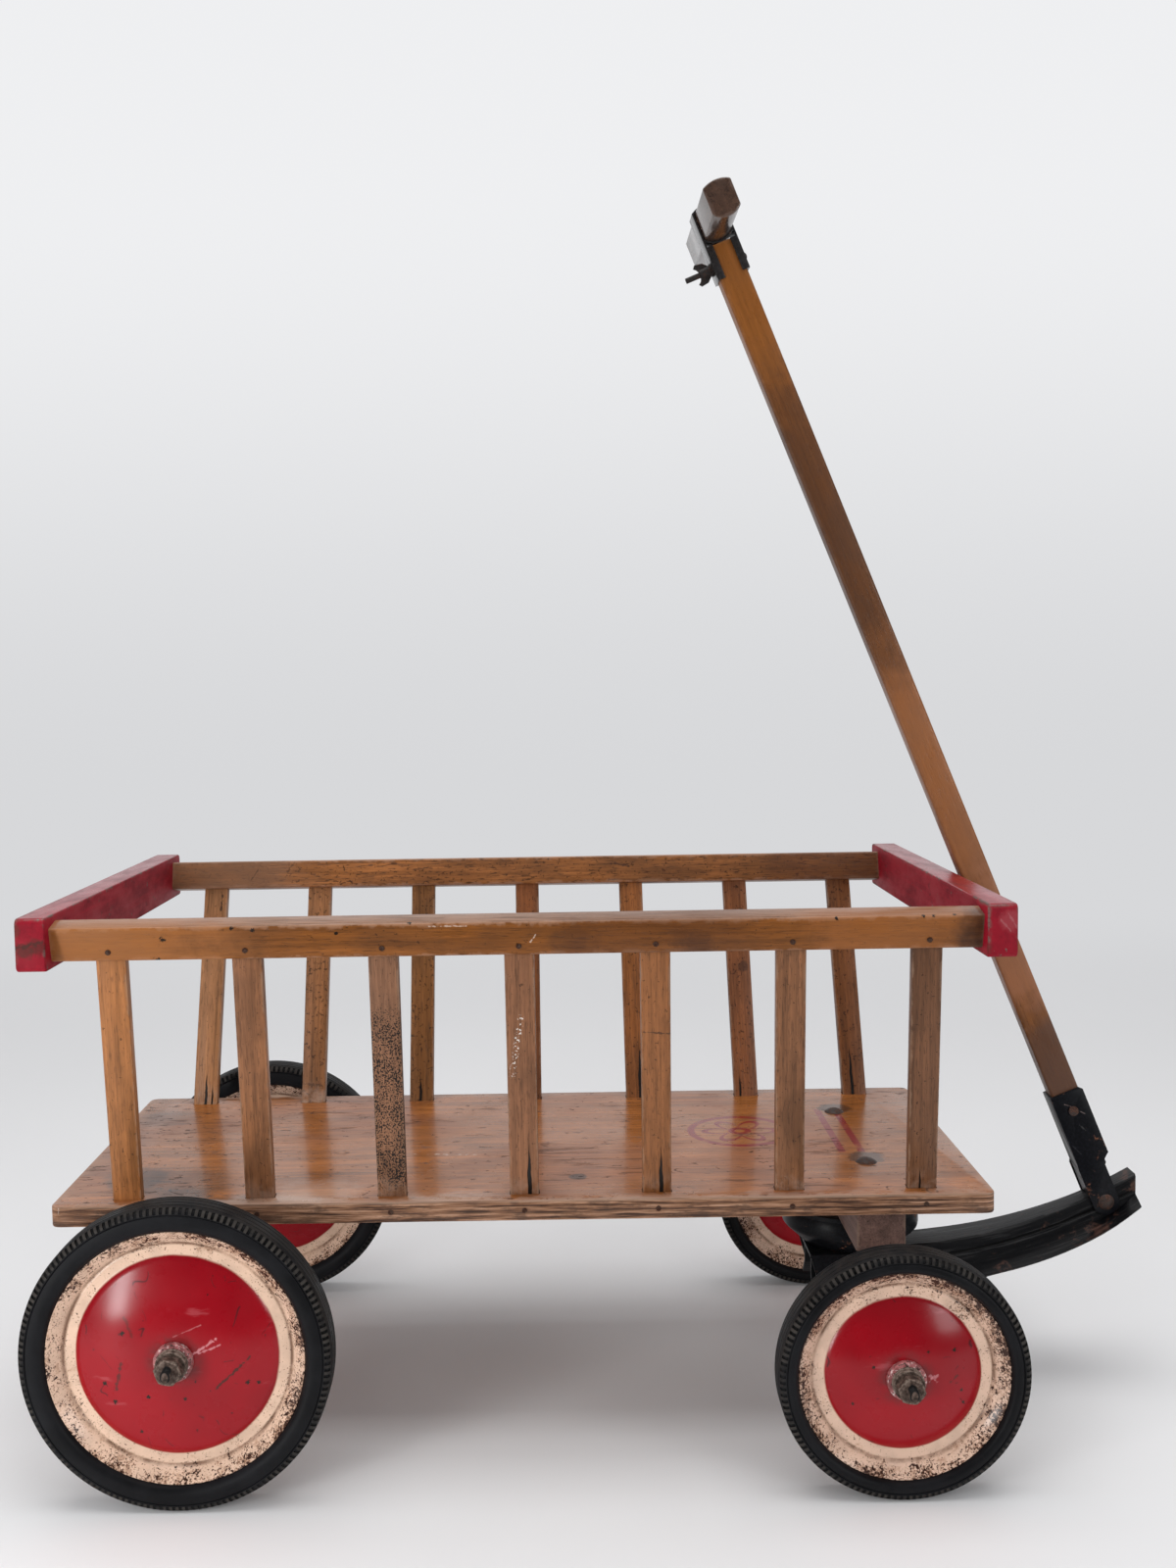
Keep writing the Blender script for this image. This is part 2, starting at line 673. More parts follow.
slat = {
    "width": 24.5,
    "thick": 10.4,
    "length": 257.47,
    "lean": 13.0,         # outward, degrees
    "fan": 0.67,          # lean along the wagon from one slat to the next, degrees
    "edge": 1.3,
    "endEdge": 0.4,
    "slotLong": 1.0,
    "slotThick": 0.4,
    "splitsFrom": -113,   # where splits start along the grain, mm
    "face": (1, -5.2),    # outer face, for marks
}
slatLooks = {
    "right_1": {"tone": (0.33, 0.129, 0.041)},
    "right_2": {"tone": (0.245, 0.101, 0.042), "grime": 0.5, "bloom": 0.4},
    "right_3": {"tone": (0.205, 0.096, 0.05), "mould": (-125, 88, 0.22), "grime": 0.4, "bloom": 0.5},
    "right_4": {"tone": (0.21, 0.09, 0.042), "paint": (-2, 55), "splits": ((4.5, 54, 1.7),), "bloom": 0.4},
    "right_5": {"tone": (0.235, 0.09, 0.031), "splits": ((3.5, 46, 1.7),), "bloom": 0.3,
                "strokes": (((38, 11), (36, -12), 1.2, scorched, 0.7),)},
    "right_6": {"tone": (0.2, 0.085, 0.037), "grime": 0.5, "bloom": 0.5},
    "right_7": {"tone": (0.13, 0.056, 0.026), "splits": ((-2.5, 22, 0.9),), "bloom": 0.4},
    "left_1": {"tone": (0.295, 0.134, 0.056), "splits": ((0.5, 34, 1.3), (7, 20, 0.9)), "bloom": 0.5,
               "strokes": (((105, -7), (84, -6), 1.2, scorched, 0.8),)},
    "left_2": {"tone": (0.24, 0.102, 0.04), "specks": 0.07, "bloom": 0.7,
               "strokes": (((-96, 9), (-97, -8), 2.2, scorched, 0.5),)},
    "left_3": {"tone": (0.185, 0.075, 0.023), "specks": 0.06, "splits": ((-1, 26, 1.4),)},
    "left_4": {"tone": (0.175, 0.058, 0.018), "specks": 0.03},
    "left_5": {"tone": (0.245, 0.086, 0.024), "splits": ((3, 60, 1.9),), "specks": 0.04},
    "left_6": {"tone": (0.185, 0.066, 0.025), "splits": ((-6, 24, 1.0),), "specks": 0.05,
               "patches": ((20, -4, 4, 3, scorched, 0.6),), "pits": ((72, 1, 1.5),)},
    "left_7": {"tone": (0.16, 0.058, 0.02), "splits": ((-2, 56, 1.5),), "specks": 0.05},
}


# leaning outward as the rack does
def rackMatrix(middle, side):
    outward = -slat["lean"] if side == "left" else slat["lean"]
    return moved(middle) @ turned(math.radians(outward), "X")


def slatMatrix(which):
    side, index = which.split("_")
    fanned = turned(math.radians((4 - int(index)) * slat["fan"]), "Y")
    return rackMatrix(boxOf(f"slat_{which}")[0], side) @ fanned


deck = startBox("deck_board", deckSize, deckMiddle)
roundEdges(deck, deckBoard["corner"], 6, runsAlong(2))
roundEdges(deck, deckBoard["edge"], 2, runsAcross(2))
slotSize = Vector((slat["width"] + slat["slotLong"], slat["thick"] + slat["slotThick"], slat["length"])) * mm
cutters = [place(startBox("slot", slotSize), slatMatrix(which)) for which in slatLooks]
cutAway(deck, joinInto(cutters[0], cutters[1:]))
settle(deck, "wagon", "deck", deckMaterial())
print("deck board done")


# slats

alongGrain = turned(-quarterTurn, "Y")
slatSize = Vector((slat["width"], slat["thick"], slat["length"])) * mm
slatHalf = slatSize.zyx / 2
firstSlat = startBox("slat_pattern", slatSize)
roundEdges(firstSlat, slat["edge"], 2, runsAlong(2))
roundEdges(firstSlat, slat["endEdge"], 1, runsAcross(2))
for number, (which, look) in enumerate(slatLooks.items()):
    matrix = slatMatrix(which)
    piece = place(copyOf(firstSlat, f"slat_{which}_stave"), matrix)
    wood = woodMaterial(f"slatWood_{which}", matrix @ alongGrain, slatHalf, seed=number + 1,
                        face=slat["face"], **look)
    settle(piece, "wagon", f"slat_{which}", wood)
remove(firstSlat)
print("slats done")


# side rails and end rails

sideRail = {
    "size": (752.0, 22.0, 28.8),
    "wood": {
        "coat": 0.3,
        "wear": 3.2,
        "wearColour": (0.36, 0.2, 0.125),
        "topDust": 0.42,
        "roughness": 0.36,
        "face": (1, -11),     # outer face, for marks
    },
    "edge": 2.2,
    "right": {
        "tone": (0.178, 0.058, 0.009),
        "grime": 0.35,
        "pits": ((-285, 4, 1.9), (-229, 13, 1.4), (-212, 11, 1.4), (-145, 7, 1.3), (-86, -9, 14.4, 1.4),
                 (257, 13, 1.4), (327, -10, 14, 1.2), (335, -10, 14, 1.1), (352, -9, 14.4, 1.3),
                 (-291, -14, 2.2)),
        "patches": ((-340, 0, 40, 110, (0.33, 0.12, 0.03), 0.6), (45, -2, 8, 18, scorched, 0.35),
                    (146, -9, 7, 11, scorched, 0.6), (132, -2, 4, 9, scorched, 0.4),
                    (372, 0, 16, 9, scorched, 0.7), (300, 0, 30, 60, (0.3, 0.105, 0.028), 0.5),
                    (120, 0, 50, 60, (0.1, 0.034, 0.011), 0.45)),
        "strokes": (((15, 3), (11, -3), 0.9, chalky, 0.6), ((-70, 12), (-40, 11.5), 0.8, chalky, 0.5)),
    },
    "left": {
        "tone": (0.23, 0.086, 0.026),
        "grime": 0.6,
        "specks": 0.05,
        "contrast": 1.45,
        "pores": 0.9,
        "patches": ((-330, 0, 60, 60, (0.2, 0.1, 0.055), 0.6), (345, 0, 50, 50, (0.08, 0.03, 0.015), 0.6)),
        "strokes": (((-282, 9), (-292, -6), 1.3, scorched, 0.6), ((-248, 10), (-254, 2), 1.2, scorched, 0.5),
                    ((92, 6), (110, 3), 1.6, scorched, 0.7), ((-120, 3), (-100, 4), 1.6, scorched, 0.5)),
    },
}
for number, side in enumerate(("right", "left")):
    matrix = rackMatrix(boxOf(f"side_rail_{side}")[0], side)
    size = Vector(sideRail["size"]) * mm
    rail = startBox(f"side_rail_{side}_bar", size)
    roundEdges(rail, sideRail["edge"], 3, runsAlong(0))
    place(rail, matrix)
    wood = woodMaterial(f"railWood_{side}", matrix, size / 2, seed=20 + number,
                        **sideRail["wood"], **sideRail[side])
    settle(rail, "wagon", f"side_rail_{side}", wood)

oldDirt = (0.06, 0.022, 0.016)
redPaint = {
    "tone": (0.27, 0.005, 0.016),
    "dark": (0.13, 0.004, 0.011),
    "bare": (0.2, 0.15, 0.13),
    "roughness": 0.3,
    "corner": 5.0,
    "edge": 1.4,
    "rear": {             # marks on the near end: towards the rear, up
        "patches": ((4, -4, 4, 5, oldDirt, 0.7), (-6, -1, 4, 5, oldDirt, 0.6),
                    (14, 12, 3, 5, (0.07, 0.03, 0.02), 0.6)),
        "strokes": (((12, -2), (-13, 3), 2.2, (0.05, 0.02, 0.015), 0.7),),
    },
    "front": {
        "patches": ((-6, 8, 5, 6, (0.3, 0.07, 0.08), 0.4), (14, -14, 3, 4, oldDirt, 0.5)),
        "strokes": (((-4, 14), (-11, 2), 1.0, (0.36, 0.14, 0.15), 0.4),
                    ((2, 9), (-6, 0), 0.8, (0.36, 0.14, 0.15), 0.35)),
    },
}


def redRailMaterial(end, matrix, half, seed):
    look = redPaint
    tone = look["tone"]
    material, shader = startMaterial(f"redRail_{end}", Coat_Roughness=0.2, Specular_IOR_Level=0.16)
    local = localVector(shader, matrix)
    vector = shift(local, (seed, 0.3 * seed, 0.1))
    grain = useGroup(woodGrain, vector)
    broad = noise(stretch(vector, (1, 2.5, 2.5)), 20, 5, 0.68)
    torn = remap(noise(vector, 46, 4, 0.7), 0.44, 0.56, 0.1, 1.0)
    torn = useGroup(boxEdges, local, Half=half, Width=2.4 * mm) * torn
    bare = larger(torn, useGroup(speckle, vector, Scale=130, Amount=-0.01))
    colour = layers(
        tone, (remap(broad, 0.42, 0.7, 0.0, 0.7), look["dark"]),
        (remap(grain["Streak"], 0.5, 0.7, 0.0, 0.35), shade(tone, 1.5)),
        (useGroup(scratches, vector, Scale=24, Width=0.012, Amount=0.06) * 0.5, shade(tone, 0.25)),
        (bare, toneSteps(grain["Fibre"], look["bare"], (0.3, 0.35), (0.7, 1))),
        (remap(axes(local)[0], -half.x + 2 * mm, -half.x) * 0.3, look["dark"]))
    colour = addMarks(shift(local, (half.x, 0, 0)), look[end], colour)
    above = facingUp(shader)
    feed(shader.inputs["Coat Weight"], above * 0.4)
    rough = remap(broad, 0.3, 0.7, look["roughness"] - 0.05, look["roughness"] + 0.12)
    rough = rough + bare * 0.3 + remap(above, 0, 1, 0.25, 0)
    return finishMaterial(material, colour, rough, grain["Fibre"] * 0.5 - bare * 0.9, 0.16)


# a box that fills its node's place and lies across the wagon: its matrix along the grain, its half size
def crossBlock(name, node):
    middle, size = boxOf(node)
    return startBox(name, size, middle), moved(middle) @ turned(quarterTurn, "Z"), size.yxz / 2


for number, end in enumerate(("front", "rear")):
    rail, matrix, half = crossBlock(f"end_rail_{end}_bar", f"end_rail_{end}")
    roundEdges(rail, redPaint["corner"], 5, runsAlong(0))
    roundEdges(rail, redPaint["edge"], 3, runsAcross(0))
    paint = redRailMaterial(end, matrix, half, number + 1)
    settle(rail, "wagon", f"end_rail_{end}", paint)
print("rails done")


# metals

metal = {
    "base": (0.0045, 0.0048, 0.0058),
    "rust": (0.085, 0.035, 0.02),
    "amount": -0.04,      # how much of it is rusty
    "roughness": 0.36,
    "metallic": 0.0,
    "scale": 55,
    "lift": 0.02,         # dust on top
    "gloss": 0.12,
    "coat": 0.0,
}


def metalMaterial(name, **changes):
    look = {**metal, **changes}
    material, shader = startMaterial(name, Specular_IOR_Level=look["gloss"], Coat_Weight=look["coat"],
                                     Coat_Roughness=0.16)
    vector = coordinates(shader)
    broad = noise(vector, look["scale"], 6, 0.68)
    rusty = remap(broad + look["amount"], 0.56, 0.64)
    grainy = noise(vector, look["scale"] * 8, 3, 0.6)
    dusty = useGroup(dust, vector, Facing=coordinates(shader, "Normal"), Scale=60)
    colour = layers(look["base"], (remap(grainy, 0.4, 0.65), shade(look["base"], 1.9)),
                    (rusty, toneSteps(grainy, look["rust"], (0.36, 0.3), (0.5, 1), (0.64, 2.2))),
                    (dusty * look["lift"], (0.34, 0.3, 0.27)))
    if "middle" in look:
        flat = stretch(shift(vector, -look["middle"]), (1, 0, 1))
        colour = addMarks(flat, look, colour)
    feed(shader.inputs["Metallic"], remap(rusty, 0, 1, look["metallic"], 0.0))
    rough = remap(rusty, 0, 1, look["roughness"], 0.85)
    return finishMaterial(material, colour, rough, grainy * rusty + broad * 0.4, 0.18)


blackSteel = metalMaterial("blackSteel")
darkIron = metalMaterial("darkIron", base=(0.016, 0.013, 0.012), rust=(0.045, 0.022, 0.015), amount=0.03,
                         roughness=0.5, scale=220, lift=0.06, gloss=0.3)
dress(blackSteel, "turntable_plate")
dress(darkIron, "grip_bolt")
dress(metalMaterial("wornSteel", base=(0.2, 0.17, 0.155), rust=(0.1, 0.045, 0.028), amount=0.06,
                    roughness=0.42, metallic=0.7, scale=160, lift=0.08, gloss=0.5), "kingpin")
dress(metalMaterial("rustySteel", base=(0.1, 0.066, 0.056), rust=(0.075, 0.03, 0.02), amount=0.12,
                    roughness=0.5, metallic=0.5, scale=200, lift=0.3, gloss=0.5), "tongue_rivets")
dress(metalMaterial("nailRust", base=(0.05, 0.03, 0.022), rust=(0.04, 0.017, 0.011), amount=0.1,
                    roughness=0.5, metallic=0.3, scale=300),
      "slat_nails", "end_rail_screws", "undercarriage_screws")
dress(metalMaterial("rivetIron", base=(0.03, 0.02, 0.017), rust=(0.06, 0.028, 0.019), amount=0.08,
                    roughness=0.5, scale=200, gloss=0.3),
      "socket_screws", "pivot_rivet", "bolster_bolts")


# wheels

wheels = {
    "rear": {"radius": 127.0, "rim": 105.0, "steps": 296, "cream": (0.69, 0.485, 0.36), "rust": 0.034,
             "rustFrom": 0.1, "oneSide": 0.012},
    "front": {"radius": 102.5, "rim": 86.0, "steps": 240, "cream": (0.68, 0.475, 0.36), "rust": 0.05,
              "rustFrom": 1.0, "oneSide": 0.015},
}
tyre = {
    "blockTop": 1.1,      # where the shoulder blocks begin and end, in from the tread, mm
    "blockFoot": 5.6,
    "blockDepth": 0.8,
    "shoulder": 13,
    "tone": (0.0045, 0.0046, 0.0054),
    "dustTone": (0.055, 0.046, 0.04),
}
disc = {
    "sheet": 2.0,
    "hubRadius": 9.0,
    "collar": 16.0,
    "dome": 15.0,
    "domeFoot": 2.7,
    "domeSteps": 14,
    "flare": 12.0,
    "seam": 10.5,
    "red": (0.3, 0.0005, 0.0065),
    "rustTone": (0.042, 0.018, 0.012),
    "freckle": (0.13, 0.055, 0.03),
    "stain": (0.30, 0.15, 0.08),
}
palePaint = (0.62, 0.25, 0.27)
domeMarks = {
    "rear": {
        "face": (1, 0),
        "strokes": (((15, 5), (34, 17), 1.5, palePaint, 0.7), ((20, 6), (37, 12), 1.0, palePaint, 0.6),
                    ((0, 20), (22, 29), 0.6, palePaint, 0.35), ((32, -25), (60, 0), 1.3, scorched, 0.85),
                    ((-43, -2), (-49, -26), 1.7, scorched, 0.7), ((-40, 36), (-34, 20), 1.6, scorched, 0.5)),
        "pits": ((-42, 22, 1.8), (-58, -20, 1.4), (-22, -30, 1.4), (-50, -36, 1.6), (8, -32, 1.2),
                 (58, -21, 1.5), (66, -22, 1.2), (-30, -62, 1.1)),
    },
    "front": {
        "face": (1, 0),
        "strokes": (((19, -2), (25, 3), 1.6, palePaint, 0.6), ((19, 3), (25, -3), 1.3, palePaint, 0.5),
                    ((36, -4), (43, 1), 1.2, scorched, 0.6)),
        "pits": ((46, -12, 1.2), (48, -23, 1.0), (-42, -22, 1.0), (-26, 10, 1.0), (18, 22, 0.9),
                 (40, 22, 1.2)),
    },
}


def tyreOutline(radius, rim):
    groove = radius - 7
    rise = groove - rim
    side = [(rim - 9, 2.5), (rim, 10), (rim + 0.06 * rise, 13.2), (rim + 0.2 * rise, 15.6),
            (rim + 0.42 * rise, 16.9), (rim + 0.62 * rise, 17.15), (rim + 0.86 * rise, 16.7),
            (groove - 0.5, 16.3), (groove, 15.6), (groove + 0.5, 16.3), (radius - 5.6, 16.5),
            (radius - 3.6, 15.9), (radius - 1.9, 14.6), (radius - 1.1, 13.4), (radius - 0.5, 12),
            (radius - 0.1, 10.2), (radius - 0.9, 9.7), (radius - 0.9, 9.1), (radius - 0.05, 8.6),
            (radius, 4.2), (radius - 0.8, 3.8), (radius - 0.8, 3.2), (radius, 2.8)]
    return mirrored(side) + side[:1]


# every other facet of the shoulder is pressed in, which leaves the blocks
def makeTyre(size):
    piece = turn("tyre_pattern", tyreOutline(size["radius"], size["rim"]), size["steps"])
    step = 2 * math.pi / size["steps"]
    outer = (size["radius"] - tyre["blockTop"]) * mm
    inner = (size["radius"] - tyre["blockFoot"]) * mm

    def isGap(face):
        x, y, z = face.calc_center_median()
        count = math.floor(math.atan2(z, x) / step)
        return inner < math.hypot(x, z) < outer and abs(y) > tyre["shoulder"] * mm and count % 2 == 0

    startEdit(piece, "FACE")
    pick(piece, "faces", isGap)
    bpy.ops.mesh.inset(thickness=0.25 * mm, depth=-tyre["blockDepth"] * mm, use_boundary=True)
    endEdit()
    return piece


def discOutline(rim):
    seamOut = rim - disc["flare"]
    seamIn = seamOut - disc["seam"]
    skin = [(disc["hubRadius"], disc["dome"])]
    for step in range(disc["domeSteps"] + 1):
        share = step / disc["domeSteps"]
        rise = (disc["dome"] - disc["domeFoot"]) * (1 - share ** 2)
        skin.append((disc["collar"] + (seamIn - disc["collar"]) * share, disc["domeFoot"] + rise))
    skin += [(seamIn + 0.5, 2.15), (seamIn + 1.4, 1.95), (seamOut - 2.2, 1.95), (seamOut - 0.9, 1.75),
             (seamOut - 0.2, 1.3), (seamOut + 0.5, 1.9), (seamOut + 1.5, 3.4), (seamOut + 4, 6.2),
             (rim - 3.5, 9.6), (rim - 1.4, 11.3), (rim - 0.5, 11.9), (rim, 11.7), (rim + 0.1, 11.0)]
    back = [(reach, along - disc["sheet"]) for reach, along in reversed(skin)]
    return skin + back + skin[:1]


def wheelPaint(name, centre, size, seed, marks):
    material, shader = startMaterial(name, Coat_Weight=0.5, Coat_Roughness=0.19, Specular_IOR_Level=0.1)
    local = localVector(shader, moved(centre))
    vector = shift(local, (seed * 1.3, seed * 0.7, seed * 0.4))
    flat = stretch(local, (1, 0, 1))
    reach = length(flat)
    rim = size["rim"]
    seamOut = (rim - disc["flare"]) * mm
    redEdge = seamOut - disc["seam"] * mm

    # how rusty the rim is: in patches, more on one side and towards the lip
    worst = (math.cos(size["rustFrom"]), 0, math.sin(size["rustFrom"]))
    sector = remap(noise(vector, 42, 3, 0.6), 0.36, 0.64, -0.045, 0.045)
    sector = sector + vectorMath("DOT_PRODUCT", vectorMath("NORMALIZE", flat), worst) * size["oneSide"]
    density = sector + remap(reach, (rim - 19) * mm, rim * mm, -0.06, 0.05) + size["rust"]
    coarse = useGroup(speckle, vector, Scale=290, Amount=density)
    rust = larger(coarse, useGroup(speckle, vector, Scale=470, Amount=density + 0.014))
    tiny = useGroup(speckle, shift(vector, (0.2, 0.6, 0.4)), Scale=640, Amount=density + 0.04)

    crease = remap(abs(reach - seamOut), 2.4 * mm, 0.3 * mm)
    crease = crease * remap(noise(vector, 45, 4, 0.7), 0.36, 0.62, 0.12, 0.85)
    cream = layers(
        size["cream"], (remap(noise(vector, 40, 5, 0.6), 0.38, 0.66), shade(size["cream"], 0.84)),
        (remap(noise(vector, 110, 4, 0.7) + density * 1.3, 0.56, 0.72, 0.0, 0.5), disc["stain"]),
        (crease, (0.17, 0.09, 0.055)), (tiny * 0.85, disc["freckle"]), (rust, disc["rustTone"]))

    pits = useGroup(speckle, shift(vector, (0.5, 0.9, 0.2)), Scale=260, Amount=sector - 0.075)
    harm = larger(pits, useGroup(scratches, vector, Scale=26, Width=0.007, Amount=0.0) * 0.8)
    grimy = remap(reach, 27 * mm, 15 * mm, 0.0, 0.55) * remap(noise(vector, 90, 4, 0.65), 0.35, 0.6)
    scuff = remap(noise(stretch(vector, (20, 20, 90)), 1, 4, 0.6), 0.64, 0.74, 0.0, 0.22)
    red = layers(disc["red"], (remap(noise(vector, 9, 3), 0.35, 0.7), shade(disc["red"], 0.72)),
                 (grimy, (0.07, 0.022, 0.02)), (harm, (0.03, 0.006, 0.008)), (scuff, (0.55, 0.15, 0.17)))
    red = addMarks(flat, marks, red)

    wavering = reach + remap(noise(vector, 30, 3), 0.3, 0.7, -0.35 * mm, 0.35 * mm)
    isRed = remap(wavering, redEdge + 1.2 * mm, redEdge - 0.6 * mm)
    harmed = mixColour(isRed, rust, harm)
    rough = remap(harmed, 0, 1, 0.3, 0.85) + remap(noise(vector, 30, 5, 0.6), 0.35, 0.7, -0.05, 0.12)
    height = noise(vector, 18, 2) * 1.5 - harmed
    return finishMaterial(material, mixColour(isRed, cream, red), rough, height, 0.14)


def hubMaterial(name, centre, seed):
    material, shader = startMaterial(name)
    vector = shift(localVector(shader, moved(centre)), (seed, 0.2 * seed, 0.7 * seed))
    broad = noise(vector, 120, 5, 0.65)
    spots = useGroup(speckle, vector, Scale=420, Amount=0.08)
    flakes = useGroup(speckle, shift(vector, (0.3, 0.6, 0.9)), Scale=380, Amount=0.09)
    colour = layers((0.4, 0.13, 0.13), (remap(broad, 0.35, 0.65), (0.2, 0.05, 0.05)),
                    (flakes, (0.58, 0.42, 0.4)), (spots, (0.05, 0.022, 0.018)))
    return finishMaterial(material, colour, remap(spots, 0, 1, 0.42, 0.85), broad - spots, 0.15)


def rubberMaterial(name, centre, size, seed):
    material, shader = startMaterial(name, Specular_IOR_Level=0.13)
    local = localVector(shader, moved(centre))
    vector = shift(local, (seed, seed * 0.5, 0))
    reach = length(stretch(local, (1, 0, 1)))
    x, y, z = axes(local)
    broad = noise(vector, 22, 5, 0.62)
    outer = remap(reach, (size["radius"] - 5) * mm, (size["radius"] - 0.6) * mm)
    wash = outer * remap(noise(vector, 60, 5, 0.7), 0.35, 0.7, 0.03, 0.4)
    angle = maths("ARCTAN2", z, x) - math.pi / size["steps"]
    gap = remap(maths("COSINE", angle * (size["steps"] / 2)), -0.35, 0.35)
    blockColour = mixColour(gap, (0.04, 0.035, 0.031), (0.0015, 0.0015, 0.0015))
    middleBlock = size["radius"] - (tyre["blockTop"] + tyre["blockFoot"]) / 2
    shoulder = remap(abs(reach - middleBlock * mm), 2.7 * mm, 2.1 * mm)
    worn = remap(noise(vector, 35, 4, 0.7), 0.34, 0.62, 0.1, 1.0)
    colour = layers(tyre["tone"], (remap(broad, 0.35, 0.7), shade(tyre["tone"], 2.1)),
                    (wash, tyre["dustTone"]), (shoulder * worn, blockColour))
    rough = remap(broad, 0.3, 0.7, 0.4, 0.58) + wash * 0.5
    return finishMaterial(material, colour, rough, noise(vector, 900, 3, 0.6) * 0.4 + broad, 0.12)


halfTurn = turned(math.pi, "Z")
hubRim = [(14.6, 20), (15.6, 19.6), (16, 18.6), (16, 15), (9, 15)]
hubPattern = turn("hub_pattern", [(6.05, -20), (6.05, 20), *mirrored(hubRim), (6.05, -20)], 64)
seed = 0
for end, size in wheels.items():
    tyrePattern = makeTyre(size)
    discPattern = turn("disc_pattern", discOutline(size["rim"]), 144)
    for side in ("right", "left"):
        seed += 1
        wheel = f"{end}_{side}"
        body = f"wheel_{wheel}"
        centre = boxOf(f"{wheel}_tyre")[0]
        here = moved(centre)
        rubber = rubberMaterial(f"rubber_{wheel}", centre, size, seed)
        rubberPiece = place(copyOf(tyrePattern, f"{wheel}_tyre_ribbed"), here)
        settle(rubberPiece, body, f"{wheel}_tyre", rubber, 40)
        paint = wheelPaint(f"wheelPaint_{wheel}", centre, size, seed, domeMarks[end])
        for face in ("outer", "inner"):
            matrix = here @ halfTurn if (side == "right") == (face == "outer") else here
            shell = place(copyOf(discPattern, f"{wheel}_{face}_dish"), matrix)
            settle(shell, body, f"{wheel}_{face}_disc", paint, 50)
        hub = place(copyOf(hubPattern, f"{wheel}_hub_collar"), here)
        settle(hub, body, f"{wheel}_hub", hubMaterial(f"hubPaint_{wheel}", centre, seed), 50)
    remove(tyrePattern, discPattern)
remove(hubPattern)
print("wheels done")


# axles, washers and nuts

axle = {
    "end": 271.8,
    "stub": 263.8,
    "shoulder": 205.7,
    "stubRadius": 4.5,
    "endRadius": 6.0,
    "midRadius": 8.0,
    "thread": 1.3,
}
nutStack = {
    "start": 246.3,
    "washers": (13.0, 12.3, 12.8),
    "washerThick": 2.5,
    "washerGap": 0.15,
    "hole": 6,
    "edge": 0.6,
    "across": 20.0,
    "height": 10.0,
    "angle": 0.35,
    "chamfer": 1.6,
}


def axleOutline():
    tip = [(0, axle["end"]), (3.6, axle["end"]), (4.2, axle["end"] - 0.5)]
    along = axle["end"] - 1.0
    while along > axle["stub"] + axle["thread"]:
        tip.append((axle["stubRadius"], along))
        tip.append((axle["stubRadius"] - 0.5, along - axle["thread"] / 2))
        along -= axle["thread"]
    tip += [(axle["stubRadius"], axle["stub"]), (axle["endRadius"], axle["stub"] - 0.2),
            (axle["endRadius"], axle["shoulder"]), (axle["midRadius"], axle["shoulder"] - 0.5)]
    return mirrored(tip)


def hexNut(across, height):
    corner = across / math.sqrt(3)
    half = height / 2
    bpy.ops.mesh.primitive_cylinder_add(vertices=6, radius=corner * mm, depth=height * mm,
                                        rotation=(quarterTurn, 0, 0))
    bpy.ops.object.transform_apply()
    nut = nameActive("axle_nut")
    chamfer = [(0, half), (across / 2 - 0.3, half), (corner + 0.05, half - nutStack["chamfer"])]
    cutAway(nut, turn("nut_chamfer", mirrored(chamfer)[::-1], 48), "INTERSECT")
    return nut


def makeWasher(number, radius):
    start = nutStack["start"] + number * nutStack["washerThick"]
    end = start + nutStack["washerThick"] - nutStack["washerGap"]
    hole, edge = nutStack["hole"], nutStack["edge"]
    outline = [(hole, start), (hole, end), (radius - edge, end), (radius, end - edge),
               (radius, start + edge), (radius - edge, start), (hole, start)]
    return turn(f"washer_{number}", outline, 48)


stackParts = [makeWasher(*given) for given in enumerate(nutStack["washers"])]
nutBottom = nutStack["start"] + len(nutStack["washers"]) * nutStack["washerThick"]
nutTop = nutBottom + nutStack["height"]
axleNut = hexNut(nutStack["across"], nutStack["height"])
place(axleNut, moved((0, (nutBottom + nutStack["height"] / 2) * mm, 0)) @ turned(nutStack["angle"], "Y"))
stack = joinInto(axleNut, stackParts)
axlePattern = turn("axle_pattern", axleOutline(), 40)


# rust with pale rims and flats, and a dark slot round the flattened end of the axle
def stackMaterial(name, middle):
    material, shader = startMaterial(name, Specular_IOR_Level=0.3)
    local = localVector(shader, moved(middle))
    along = abs(axes(local)[1])
    broad = noise(local, 260, 5, 0.7)
    colour = colourSteps(broad, [(0.34, (0.016, 0.01, 0.008)), (0.48, (0.06, 0.038, 0.028)),
                                 (0.6, (0.11, 0.075, 0.06)), (0.72, (0.26, 0.19, 0.15))])
    face = nutTop * mm
    rims = remap(length(stretch(local, (1, 0, 1))), 11.2 * mm, 12.4 * mm)
    corner = 0.0
    for degrees in (30, 90, 150):
        angle = math.radians(degrees) - nutStack["angle"]
        facet = vectorMath("DOT_PRODUCT", local, (math.cos(angle), 0, math.sin(angle)))
        corner = larger(corner, abs(facet))
    ring = remap(corner, 8.2 * mm, 9.2 * mm) * remap(along, face - 2 * mm, face - 1 * mm)
    pale = larger(rims, ring) * remap(broad, 0.42, 0.58, 0.1, 0.85)
    colour = mixColour(pale, colour, (0.2, 0.15, 0.12))
    slot = abs(length(stretch(local, (1.5, 0, 1))) - 5 * mm)
    slot = remap(slot, 1.3 * mm, 0.7 * mm) * remap(along, face - 1 * mm, face - 0.2 * mm)
    colour = mixColour(slot, colour, (0.004, 0.003, 0.003))
    return finishMaterial(material, colour, remap(broad, 0.4, 0.7, 0.8, 0.45), broad, 0.25)


